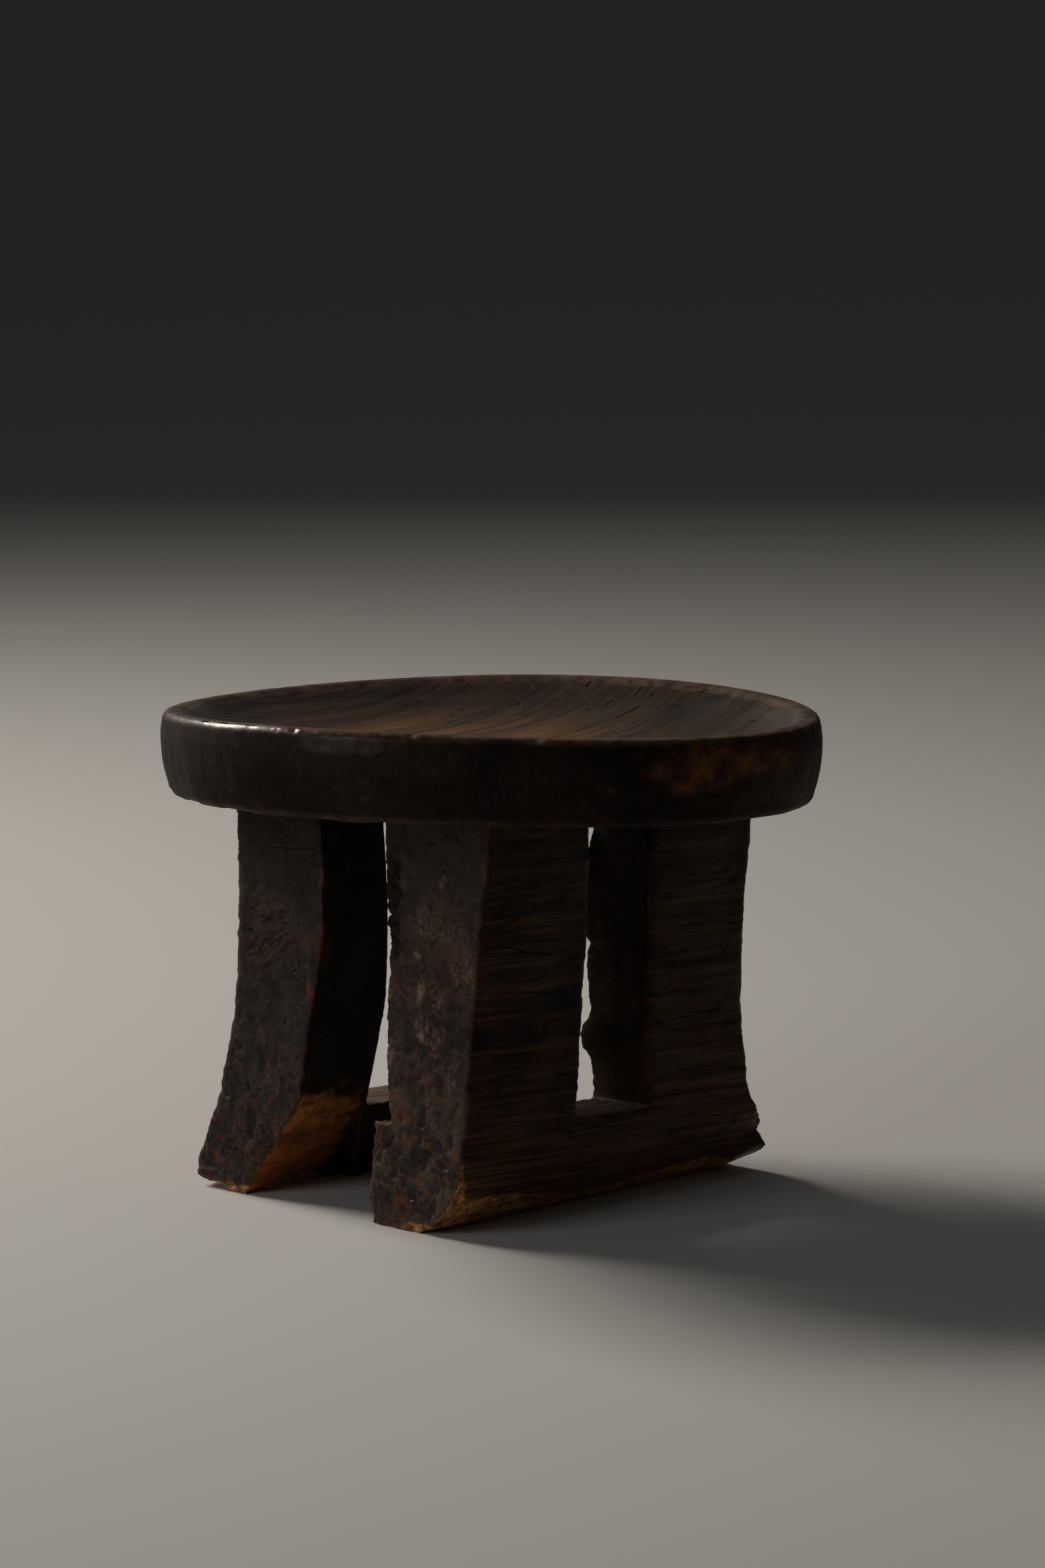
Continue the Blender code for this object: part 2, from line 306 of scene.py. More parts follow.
class Surface:
    """A mesh's points and edges as arrays, with what the carving needs from them."""

    def __init__(self, obj):
        self.obj = obj
        mesh = obj.data
        count = len(mesh.vertices)
        flat = np.empty(count * 3)
        mesh.vertices.foreach_get("co", flat)
        self.points = to_level(flat.reshape(-1, 3))
        ends = np.empty(len(mesh.edges) * 2, np.int64)
        mesh.edges.foreach_get("vertices", ends)
        self.a, self.b = ends.reshape(-1, 2).T
        self.valence = np.bincount(self.a, minlength=count) + np.bincount(self.b, minlength=count)

    def spread(self, values):
        """Each point's mean over its neighbours."""
        if values.ndim == 1:
            total = np.bincount(self.a, values[self.b], len(values))
            total += np.bincount(self.b, values[self.a], len(values))
            return total / self.valence
        return np.stack([self.spread(column) for column in values.T], axis=1)

    def smoothed(self, values, steps, share=0.6):
        for _ in range(steps):
            values = values + share * (self.spread(values) - values)
        return values

    def normals(self):
        """The normals at the points as they are now, in the level frame."""
        self.store()
        flat = np.empty(len(self.points) * 3)
        self.obj.data.vertex_normals.foreach_get("vector", flat)
        return flat.reshape(-1, 3) @ TURN

    def wide_normals(self, steps):
        """The normals, smoothed over each point's surroundings."""
        wide = self.smoothed(self.normals(), steps)
        return wide / np.linalg.norm(wide, axis=1)[:, None]

    def standing_out(self, wide_normals, steps):
        """How far each point stands out from its smoothed surroundings."""
        return np.einsum("ij,ij->i", self.points - self.smoothed(self.points, steps), wide_normals)

    def store(self):
        """Writes the points back to the mesh."""
        mesh = self.obj.data
        mesh.vertices.foreach_set("co", from_level(self.points).astype(np.float32).ravel())
        mesh.update()

    def keep(self, name, values):
        """Keeps a number for each point on the mesh, for its material."""
        made = self.obj.data.attributes.new(name, "FLOAT", "POINT")
        made.data.foreach_set("value", np.clip(values, 0, 1).astype(np.float32))

    def keep_places(self, name, values):
        made = self.obj.data.attributes.new(name, "FLOAT_VECTOR", "POINT")
        made.data.foreach_set("vector", values.astype(np.float32).ravel())


def grown_copy(node):
    """A copy of a node's mesh, run on a little where it faces a neighbour across a gap."""
    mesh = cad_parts[node].data.copy()
    bm = bmesh.new()
    bm.from_mesh(mesh)
    bmesh.ops.remove_doubles(bm, verts=bm.verts, dist=1e-6)
    if node.endswith("_leg"):
        places = to_level(np.array([vertex.co for vertex in bm.verts]))
        top = places[:, 2].max()
        bottom = places[:, 2].min()
        is_top = places[:, 2] > top - 0.003
        is_bottom = places[:, 2] < bottom + 0.0005
        places[is_top, 2] += INTO_SEAT
        places[is_bottom, 2] -= INTO_RUNNER
        for vertex, place in zip(bm.verts, from_level(places)):
            vertex.co = place
    bm.to_mesh(mesh)
    bm.free()
    return mesh


def remeshed(name, nodes, voxel):
    """One continuous closed surface around several nodes, as an evenly fine mesh."""
    joined = bmesh.new()
    for node in nodes:
        mesh = grown_copy(node)
        joined.from_mesh(mesh)
        bpy.data.meshes.remove(mesh)
    mesh = bpy.data.meshes.new(name)
    joined.to_mesh(mesh)
    joined.free()
    rough = bpy.data.objects.new(name + "_rough", mesh)
    bpy.context.scene.collection.objects.link(rough)
    remesh = rough.modifiers.new("remesh", "REMESH")
    remesh.mode = "VOXEL"
    remesh.voxel_size = voxel
    graph = bpy.context.evaluated_depsgraph_get()
    fine = bpy.data.meshes.new_from_object(rough.evaluated_get(graph))
    bpy.data.objects.remove(rough)
    piece = bpy.data.objects.new(name, fine)
    bpy.context.scene.collection.objects.link(piece)
    fine.shade_smooth()
    return piece


# ---- Carving ----


def regions(normals, points, side):
    """How much each point of a frame belongs to each of its faces, from 0 to 1."""
    forwards = np.abs(normals[:, 0])
    sideways = np.abs(normals[:, 1])
    at_end = normals[:, 0] * np.sign(points[:, 0]) > 0
    is_outer = normals[:, 1] * side > 0
    return {
        "end": ramp(forwards, 0.60, 0.76) * at_end,
        "slot": ramp(forwards, 0.60, 0.76) * ~at_end,
        "outer": ramp(sideways, 0.60, 0.76) * is_outer,
        "inner": ramp(sideways, 0.60, 0.76) * ~is_outer,
        "up": ramp(normals[:, 2], 0.6, 0.85),
        "under": ramp(-normals[:, 2], 0.6, 0.85),
    }


def crumble(base):
    """How far each point of the right frame moves along the slot, where its arris crumbled."""
    amount = from_table(CRUMBLED, base[:, 2])
    amount += 0.0009 * fractal(base, (0.05, 0.05, 0.0040), 77, 3)
    across = ramp(base[:, 1], -0.064, -0.044)
    along = 1 - ramp(base[:, 0], SLOT_REAR_WALL, SLOT_REAR_WALL + CRUMBLED_DEPTH)
    upwards = ramp(base[:, 2], 0.0440, 0.0475) * (1 - ramp(base[:, 2], 0.198, 0.205))
    return amount * across * along * upwards * (base[:, 0] > 0.015)


def swollen_arris(base):
    """How far each point of the right frame moves inwards, where the front leg's arris swells."""
    swollen = ramp(base[:, 1], -0.042, -0.028) * (1 - ramp(base[:, 0], -0.095, -0.080))
    swollen *= ramp(base[:, 2], 0.050, 0.056) * (1 - 0.7 * ramp(base[:, 2], 0.110, 0.125))
    return INNER_ARRIS_SWELL * swollen


def cut_patch(base):
    """The patch of the left front leg's end face that holds the knife cuts, from 0 to 1."""
    across = (base[:, 1] - CUTS_MIDDLE[0]) / CUTS_HALF[0]
    up = (base[:, 2] - CUTS_MIDDLE[1]) / CUTS_HALF[1]
    return (1 - ramp(across**2 + up**2, 0.45, 1.15)) * (base[:, 0] < FRONT_ENDS)


def ovals(base, rows, wobble, low, high):
    """Ragged ovals on a front end face, from 0 to 1. A row is (across, up, half across, half up)."""
    total = np.zeros(len(base))
    for across, up, half_across, half_up in rows:
        away = ((base[:, 1] - across) / half_across) ** 2 + ((base[:, 2] - up) / half_up) ** 2
        total = np.maximum(total, 1 - ramp(np.sqrt(away) + wobble, low, high))
    return total * (base[:, 0] < FRONT_ENDS)


def stains(base, side):
    """The rust-red stains on a frame's front end face, from 0 to 1."""
    wobble = 0.5 * fractal(base, (0.006, 0.0045, 0.0060), 92, 3)
    rows = [oval for is_left, *oval in STAINS if is_left == (side > 0)]
    return ovals(base, rows, wobble, 0.2, 1.3)


def scars(base):
    """The pale scars on the right front leg, from 0 to 1."""
    wobble = 0.45 * fractal(base, (0.0050, 0.0032, 0.0046), 91, 2)
    return ovals(base, SCARS, wobble, 0.35, 1.25)


def bored_strip(base):
    """Where insects have bored the right front leg's inner arris, from 0 to 1."""
    ragged = fractal(base, 0.008, 89, 3)
    from_inside = np.abs(base[:, 1]) - INNER_FACE + 0.0012 * ragged
    middle = (BORED_FROM + BORED_TO) / 2
    from_middle = np.abs(base[:, 2] - middle) / (BORED_TO - BORED_FROM) + 0.05 * ragged
    strip = (1 - ramp(from_middle, 0.36, 0.56)) * (base[:, 0] < -0.09)
    return strip * (1 - ramp(from_inside, BORED_WIDTH * 0.75, BORED_WIDTH * 1.2))


def worn_foot_corners(base):
    """How far each point of the right frame moves at its worn feet: at its squarer heel, and at the
    front foot's rounded inner corner."""
    world = from_level(base)
    height = world[:, 2]
    low = world[height < 0.030]
    rear, front, inner = low[:, 0].max(), low[:, 0].min(), low[:, 1].max()
    side_face = HEEL_SIDE + HEEL_SLOPE * np.maximum(HEEL_ROUNDED_FROM - height, 0.0)
    heel = ramp(world[:, 0], rear - HEEL_LENGTH, rear - 0.006)
    heel *= 1 - ramp(world[:, 1] - side_face, 0.0, HEEL_WIDTH)
    along, across, up = CORNER_REACH
    corner = (1 - ramp(world[:, 0] - front, 0.0, along)) * (1 - ramp(inner - world[:, 1], 0.0, across))
    corner *= 1 - ramp(height, 0.0, up)
    shift = corner[:, None] * CORNER_SHIFT
    shift[:, 1] -= heel * from_table(HEEL, height)
    return shift


def worn_edge_line(base, side, seed):
    """How high above the ground the frame's outer lower edge is worn to bare wood."""
    ragged = fractal(base, (0.018, 0.01, 0.01), seed + 10, 4)
    if side > 0:
        return 0.0026 + 0.0018 * ragged - 0.0060 * ramp(base[:, 0], -0.062, -0.050)
    line = from_table(WORN_EDGE, base[:, 0]) + 0.0016 * ragged
    corner = 1 - ramp(base[:, 0], -0.122, -0.106)
    return line + (0.026 + 0.010 * ragged) * corner


def worn_bare(base, face, height, side, seed):
    """Where sole wear has bared a frame's wood, from 0 to 1: most at its front foot."""
    edge_line = worn_edge_line(base, side, seed)
    bare = 1 - ramp(height, edge_line, edge_line + 0.0014)
    bare *= 1 - np.maximum(face["inner"], face["end"]) * ramp(height, 0.0035, 0.0060)
    if side < 0:
        bare *= 1 - ramp(base[:, 1], -0.060, -0.050) * (1 - face["under"])
    return bare


def frame_hollows(base, seed):
    """The hollows in a frame's faces, from 0 to 1: tool grooves, and end grain's pits and dents."""
    groove = creases(base, (0.060, 0.030, 0.0070), seed + 2, 0.20)
    groove *= ramp(noise(base, (0.030, 0.02, 0.012), seed + 3), -0.25, 0.35)
    pits = ramp(fractal(base, 0.0048, seed + 5, 2), 0.35, 0.85)
    dents = ramp(fractal(base, (0.0095, 0.0075, 0.0100), seed + 12, 3), 0.10, 0.80)
    return groove, pits, dents


def face_relief(base, face, hollows, low, seed):
    """How far each of a frame's faces stands out from its solid: the tool marks and the grain."""
    groove, pits, dents = hollows
    long_grain = fractal(base, (0.070, 0.0050, 0.0050), seed, 3)
    adze = noise(base, (0.034, 0.020, 0.0100), seed + 1)
    lumps = fractal(base, 0.011, seed + 4, 3)
    relief = face["outer"] * (0.00028 * long_grain + 0.00035 * adze - 0.00045 * groove)
    relief += face["inner"] * (0.00028 * long_grain + 0.00045 * adze - 0.00035 * groove)
    relief += face["end"] * (0.00026 * lumps - 0.00040 * pits - 0.0012 * low * dents)
    relief += face["slot"] * 0.00035 * fractal(base, (0.012, 0.014, 0.030), seed + 6, 2)
    relief += face["up"] * 0.00022 * fractal(base, (0.050, 0.006, 0.006), seed + 7, 2)
    return relief


def nicked_arrises(base, arris, low, seed):
    """How far nicks go into a frame's arrises, deeper low down."""
    nick = ramp(fractal(base, (0.022, 0.022, 0.011), seed + 8, 4), 0.30, 1.10)
    small_nick = ramp(fractal(base, 0.0045, seed + 14, 2), 0.15, 0.80)
    return arris * (0.0006 + 0.0010 * low) * nick + arris * 0.0008 * small_nick


def ragged_slot(base, wide_normals, arris, side, seed):
    """How far the slot's inner arrises are broken away."""
    inwards = -side * wide_normals[:, 1]
    slot_corner = arris * ramp(inwards, 0.15, 0.5) * ramp(np.abs(wide_normals[:, 0]), 0.15, 0.5)
    slot_corner *= wide_normals[:, 0] * np.sign(base[:, 0]) < 0
    return slot_corner * (0.0008 * fractal(base, (0.02, 0.02, 0.0060), seed + 9, 3) + 0.0002)


def carve_frame(piece, side, seed):
    """Tool marks, grain and wear on one slotted frame. side is 1 for the left one, -1 for the right."""
    surface = Surface(piece)
    surface.points = surface.smoothed(surface.points, 2, 0.4)
    base = surface.points.copy()
    wide_normals = surface.wide_normals(6)
    face = regions(wide_normals, base, side)
    convex = surface.standing_out(wide_normals, 14)
    arris = ramp(convex, 0.00022, 0.00075)
    height = from_level(base)[:, 2]
    low = 1 - ramp(base[:, 2], 0.03, 0.12)
    groove, pits, dents = frame_hollows(base, seed)

    relief = face_relief(base, face, (groove, pits, dents), low, seed)
    relief += ARRIS_SHARPENING * arris * np.maximum(convex, 0)
    relief -= nicked_arrises(base, arris, low, seed)
    relief -= ragged_slot(base, wide_normals, arris, side, seed)
    scar = bored = holes = torn = np.zeros(len(base))
    if side < 0:
        scar = scars(base) * face["end"]
        bored = bored_strip(base)
        holes = bored * ramp(fractal(base, (0.0050, 0.0036, 0.0044), 88, 2), -0.15, 0.45)
        relief += 0.0005 * scar - 0.0022 * holes

    surface.points = base + wide_normals * relief[:, None]
    if side > 0:
        torn = carve_break(surface, base, seed)
    else:
        surface.points[:, 0] += crumble(base)
        surface.points[:, 1] += swollen_arris(base)
        surface.points += worn_foot_corners(base)

    bare = worn_bare(base, face, height, side, seed)
    chip = 0.0005 * bare * (1 - face["under"]) * (1 + noise(base, (0.02, 0.003, 0.003), seed + 11))
    surface.points -= wide_normals * chip[:, None]

    # The ground stays flat, and nothing passes it.
    on_ground = from_level(surface.points)
    on_ground[:, 2] = np.maximum(on_ground[:, 2], 0.0)
    surface.points = to_level(on_ground)
    surface.store()

    sole = face["under"] * (height < 0.004)
    speckled = face["end"] * ramp(fractal(base, (0.02, 0.0130, 0.0190), seed + 13, 4), -0.10, 0.90)
    speckled *= bump_at(base[:, 2], 0.100, 0.095) if side < 0 else 0.15
    dark_hollows = np.maximum(0.5 * face["outer"] * groove, 0.5 * face["end"] * pits)
    bored_dark = np.maximum(holes, 0.96 * bored)
    at_front = 1 - ramp(base[:, 0], -0.096, -0.088)
    surface.keep("bare", np.maximum(np.maximum(torn, bare), 0.8 * sole))
    surface.keep("arris", arris)
    surface.keep("dark", np.maximum(dark_hollows, bored_dark))
    surface.keep("dent", face["end"] * 0.55 * low * ramp(dents, 0.35, 0.9))
    # The inner faces, and less the slots, get painted shade, as between the frames under the seat.
    surface.keep("shaded_inner", np.maximum(face["inner"], 0.3 * face["slot"]))
    surface.keep("rust", stains(base, side) * (1 - face["outer"]) * at_front)
    if side > 0:
        surface.keep("cuts", cut_patch(base) * face["end"])
    surface.keep("scar", scar)
    surface.keep("gloss", 0.2 * bored * (1 - holes))
    surface.keep("end_grain", face["end"])
    surface.keep("pale", 0.75 * speckled)
    surface.keep("warm", torn)
    surface.keep("top_grain", face["up"])
    surface.keep_places("block", base)


def carve_break(surface, base, seed):
    """Gives the split foot's plane its torn fibres, and returns where it is, from 0 to 1."""
    world = from_level(base)
    normal = BREAK_NORMAL / np.linalg.norm(BREAK_NORMAL)
    point = from_level(BREAK_POINT[None])[0]
    out = TURN @ normal
    distance = (world - point) @ out
    rear_end = BREAK_REAR_END + 0.008 - 0.016 * (1 - ramp(base[:, 2], 0.0, 0.010))
    rear_end += 0.0015 * fractal(base, 0.009, seed + 32, 2)
    top_end = BREAK_TOP_END + 0.0016 * fractal(base, 0.008, seed + 33, 2)
    near = (distance > -0.009) & (distance < 0.0045)
    near &= (base[:, 0] < rear_end) & (base[:, 2] < top_end)
    facing = surface.smoothed(surface.normals(), 3) @ normal
    torn = near * ramp(facing, 0.88, 0.95)
    fibres = fractal(base, (0.045, 0.0035, 0.0035), seed + 30, 3)
    steps = ramp(noise(base, (0.060, 0.009, 0.009), seed + 31), -0.1, 0.1)
    lift = torn * (0.0005 * fibres + 0.0009 * (steps - 0.5))
    surface.points += normal * lift[:, None]
    return surface.smoothed(torn, 2)


def carve_seat(piece):
    """The dished seat: grain in the dish, nicks and gouges on its lip, and a handled wall."""
    surface = Surface(piece)
    surface.points = surface.smoothed(surface.points, 2, 0.4)
    base = surface.points.copy()
    wide_normals = surface.wide_normals(10)
    arris = ramp(surface.standing_out(wide_normals, 22), 0.0003, 0.0011)

    radius = np.hypot(base[:, 0], base[:, 1])
    angle = np.arctan2(base[:, 1], base[:, 0])
    bearing = np.degrees(angle)
    around = np.stack([angle * SEAT_RADIUS, radius, base[:, 2]], axis=1)
    dish = ramp(wide_normals[:, 2], 0.35, 0.75)
    dish *= 1 - ramp(radius, SEAT_RADIUS - LIP_WIDTH - 0.001, SEAT_RADIUS - 0.013)
    wall = (1 - ramp(np.abs(wide_normals[:, 2]), 0.35, 0.7)) * (radius > SEAT_RADIUS - 0.012)
    under = ramp(-wide_normals[:, 2], 0.35, 0.75)
    on_top = ramp(base[:, 2], LIP_HEIGHT - 0.009, LIP_HEIGHT - 0.004)
    lip = on_top * ramp(radius, SEAT_RADIUS - LIP_WIDTH - 0.003, SEAT_RADIUS - LIP_WIDTH)
    lip *= ramp(wide_normals[:, 2], 0.45, 0.75)

    grain = fractal(base, (0.090, 0.0060, 0.0200), 101, 3)
    scoops = noise(base, (0.055, 0.035, 0.05), 102)
    relief = dish * (0.00012 * grain + 0.00040 * scoops)
    relief += wall * (0.00042 * noise(around, (0.028, 0.05, 0.030), 103))
    relief += wall * 0.00014 * fractal(base, 0.012, 104, 3)
    relief += under * 0.0006 * fractal(base, (0.05, 0.014, 0.02), 105, 3)

    # Nicks in the lip's outer arris, thickest at the front, and one notch.
    top_arris = arris * (base[:, 2] > LIP_HEIGHT - 0.012)
    nick = ramp(fractal(around, (0.0070, 0.02, 0.006), 106, 3), 0.25, 0.95)
    where = 0.30 + 0.70 * bump_at(bearing, -165, 55) + 0.3 * bump_at(bearing, -60, 50)
    relief -= top_arris * 0.0010 * nick * where
    notch = bump_at(bearing, LIP_NOTCH, 1.6) * top_arris * (radius > SEAT_RADIUS - 0.008)
    relief -= 0.0016 * notch

    # Gouges left along the lip's inner arris at the rear.
    gouge = ramp(noise(around, (0.0045, 0.02, 0.02), 108), 0.0, 0.5) * bump_at(bearing, 8.5, 15) ** 0.4
    gouge *= bump_at(radius, SEAT_RADIUS - 0.0135, 0.0030)
    relief -= 0.0005 * gouge

    low_arris = arris * (base[:, 2] < SEAT_UNDERSIDE + 0.010)
    relief -= low_arris * 0.0006 * ramp(fractal(around, (0.02, 0.02, 0.01), 107, 2), -0.1, 0.7)

    surface.points = base + wide_normals * relief[:, None]
    surface.store()

    warm_shape = bump_at(bearing, WARM_WALL[0], 33) * bump_at(base[:, 2], WARM_WALL[1], 0.020)
    warm = wall * ramp(warm_shape + 0.30 * fractal(around, (0.014, 0.02, 0.010), 109, 3), 0.20, 0.95)
    sheen = 0.75 * bump_at(bearing, SHEEN_WALL, 34) * bump_at(base[:, 2], 0.253, 0.020)
    rim_sheen = sum(bump_at(bearing, direction, half_width) for direction, half_width in SHEEN_ARRISES)
    sheen = np.maximum(sheen, 1.6 * rim_sheen * top_arris)
    sheen = np.maximum(sheen, 0.9 * rim_sheen * low_arris)
    polished = ramp(radius, 0.138, 0.160) * (1 - ramp(radius, 0.166, 0.171))
    polished *= bump_at(bearing, -43, 24) + bump_at(bearing, 124, 24)
    # A lighter, warmer patch in the dish's middle is painted light, a pool of light; the wall's warm patch
    # is wear.
    across = (base[:, 0] - DISH_LIGHT_POOL[0]) * 0.7 - (base[:, 1] - DISH_LIGHT_POOL[1]) * 0.7
    inwards = (base[:, 0] - DISH_LIGHT_POOL[0]) * 0.7 + (base[:, 1] - DISH_LIGHT_POOL[1]) * 0.7
    dish_light_pool = (1 - ramp(np.hypot(across / 1.5, inwards), 0.005, 0.085)) * dish
    # The lower arris takes the arrises' lighter colour as a painted highlight, light caught from the
    # floor.
    surface.keep("arris", np.maximum(top_arris, 0.55 * low_arris))
    surface.keep("dark", np.maximum(0.5 * top_arris * nick * where, 0.6 * gouge))
    surface.keep("gloss", np.maximum(sheen, 0.75 * polished))
    surface.keep("wall", wall)
    surface.keep("pale", 0.8 * notch)
    surface.keep("warm", np.maximum(warm, 0.8 * dish_light_pool))
    surface.keep("dish", dish)
    surface.keep("lip", lip)
    surface.keep_places("block", base)


# ---- Materials ----


class Graph:
    """Short ways to add nodes to a material."""

    def __init__(self, name):
        self.material = bpy.data.materials.new(name)
        self.material.use_nodes = True
        self.nodes = self.material.node_tree.nodes
        self.links = self.material.node_tree.links
        self.shader = self.nodes["Principled BSDF"]

    def put(self, socket, value):
        if isinstance(value, bpy.types.NodeSocket):
            self.links.new(value, socket)
        elif isinstance(value, tuple) and len(value) == 3 and socket.type == "RGBA":
            socket.default_value = (*value, 1.0)
        else:
            socket.default_value = value

    def attribute(self, name, vector=False):
        node = self.nodes.new("ShaderNodeAttribute")
        node.attribute_name = name
        return node.outputs["Vector" if vector else "Fac"]

    def math(self, operation, *values, clamp=False):
        node = self.nodes.new("ShaderNodeMath")
        node.operation = operation
        node.use_clamp = clamp
        for socket, value in zip(node.inputs, values):
            self.put(socket, value)
        return node.outputs[0]

    def vector(self, operation, *values, out=0):
        node = self.nodes.new("ShaderNodeVectorMath")
        node.operation = operation
        for socket, value in zip(node.inputs, values):
            self.put(socket, value)
        return node.outputs[out]

    def scaled(self, vector, scale):
        return self.vector("MULTIPLY", vector, scale)

    def near_line(self, place, start, end, width):
        """1 on the line from start to end, falling to 0 at width from it."""
        span = Vector(end) - Vector(start)
        from_start = self.vector("SUBTRACT", place, tuple(start))
        share = self.vector("DOT_PRODUCT", from_start, tuple(span / span.length_squared), out="Value")
        share = self.math("MULTIPLY", share, 1.0, clamp=True)
        along = self.nodes.new("ShaderNodeVectorMath")
        along.operation = "SCALE"
        along.inputs[0].default_value = span
        self.put(along.inputs["Scale"], share)
        gap = self.vector("DISTANCE", from_start, along.outputs[0], out="Value")
        return self.between(gap, 0.0, width, 1.0, 0.0)

    def separate(self, vector):
        node = self.nodes.new("ShaderNodeSeparateXYZ")
        self.put(node.inputs[0], vector)
        return node.outputs

    def lines(self, place, scale, width, detail=2.0):
        """Long thin lines, from 0 to 1, where noise passes through its middle."""
        value = self.noise(self.scaled(place, scale), 1.0, detail, 0.5)
        away = self.math("ABSOLUTE", self.math("SUBTRACT", value, 0.5))
        return self.between(away, 0.0, width, 1.0, 0.0)

    def times(self, *values):
        total = values[0]
        for value in values[1:]:
            total = self.math("MULTIPLY", total, value)
        return total

    def noise(self, vector, scale, detail=3.0, roughness=0.55, distortion=0.0):
        node = self.nodes.new("ShaderNodeTexNoise")
        self.put(node.inputs["Vector"], vector)
        node.inputs["Scale"].default_value = scale
        node.inputs["Detail"].default_value = detail
        node.inputs["Roughness"].default_value = roughness
        node.inputs["Distortion"].default_value = distortion
        return node.outputs["Fac"]

    def between(self, value, low, high, to_low=0.0, to_high=1.0):
        """The value's place between low and high, smoothly, as a number from to_low to to_high."""
        node = self.nodes.new("ShaderNodeMapRange")
        node.interpolation_type = "SMOOTHSTEP"
        self.put(node.inputs["Value"], value)
        node.inputs["From Min"].default_value = low
        node.inputs["From Max"].default_value = high
        node.inputs["To Min"].default_value = to_low
        node.inputs["To Max"].default_value = to_high
        return node.outputs["Result"]

    def mix(self, share, a, b):
        node = self.nodes.new("ShaderNodeMix")
        node.data_type = "RGBA"
        self.put(node.inputs["Factor"], share)
        self.put(node.inputs["A"], a)
        self.put(node.inputs["B"], b)
        return node.outputs["Result"]

    def bump(self, height, distance, strength=1.0, normal=None):
        node = self.nodes.new("ShaderNodeBump")
        self.put(node.inputs["Height"], height)
        node.inputs["Distance"].default_value = distance
        node.inputs["Strength"].default_value = strength
        if normal is not None:
            self.links.new(normal, node.inputs["Normal"])
        return node.outputs["Normal"]


def solid_wood(g, block):
    """The wood all through: its clouds, streaks and fibres run along the block's X."""
    return {
        "streak": g.noise(g.scaled(block, (11.0, 360.0, 360.0)), 1.0, 3.0, 0.6),
        "fibre": g.noise(g.scaled(block, (40.0, 1000.0, 1000.0)), 1.0, 3.0, 0.6),
        "cloud": g.noise(block, 26.0, 4.0, 0.6),
        "blotch": g.noise(block, 75.0, 4.0, 0.65),
        "speck": g.noise(block, 380.0, 3.0, 0.6),
        "grit": g.noise(block, 620.0, 3.0, 0.65),
        "band": g.noise(g.scaled(block, (6.0, 60.0, 60.0)), 1.0, 3.0, 0.6),
        "slow": g.noise(g.scaled(block, (9.0, 110.0, 110.0)), 1.0, 2.0, 0.5),
        "flake": g.noise(block, 170.0, 3.0, 0.62, 0.6),
        "lines": g.lines(block, (6.0, 120.0, 120.0), 0.011, 1.0),
        "where": g.between(g.noise(g.scaled(block, (20.0, 90.0, 90.0)), 1.0, 2.0), 0.46, 0.60),
    }


def patina(g, w, streaked):
    """The sides' patina: near black, with brown and reddish streaks where it has thinned."""
    colour = g.mix(g.between(w["cloud"], 0.34, 0.66), (0.0072, 0.0044, 0.0032), (0.0195, 0.0098, 0.0060))
    reddish = g.times(g.between(w["blotch"], 0.44, 0.60), g.between(w["slow"], 0.42, 0.58), 0.80)
    colour = g.mix(g.times(reddish, streaked), colour, (0.060, 0.0170, 0.0078))
    thin = g.between(w["band"], 0.42, 0.60, 0.12, 1.0)
    streaks = g.times(g.between(w["streak"], 0.50, 0.60), thin, streaked)
    return g.mix(g.times(streaks, 0.80), colour, (0.088, 0.0370, 0.0145))


def wood_height(g, w, dark_lines, depth):
    """The fine relief of grain, cracks and pits, as a bumped normal. It is rubbed flatter where glossy."""
    flatter = g.math("SUBTRACT", 1.0, g.times(g.attribute("gloss"), 0.8))
    grain = g.math("ADD", g.times(w["streak"], 0.55), g.times(w["fibre"], 0.45))
    normal = g.bump(g.times(grain, flatter), 0.0006, 0.55)
    normal = g.bump(g.times(w["speck"], flatter), 0.0003, 0.35, normal)
    return g.bump(g.math("SUBTRACT", 1.0, dark_lines), depth, 0.8, normal)


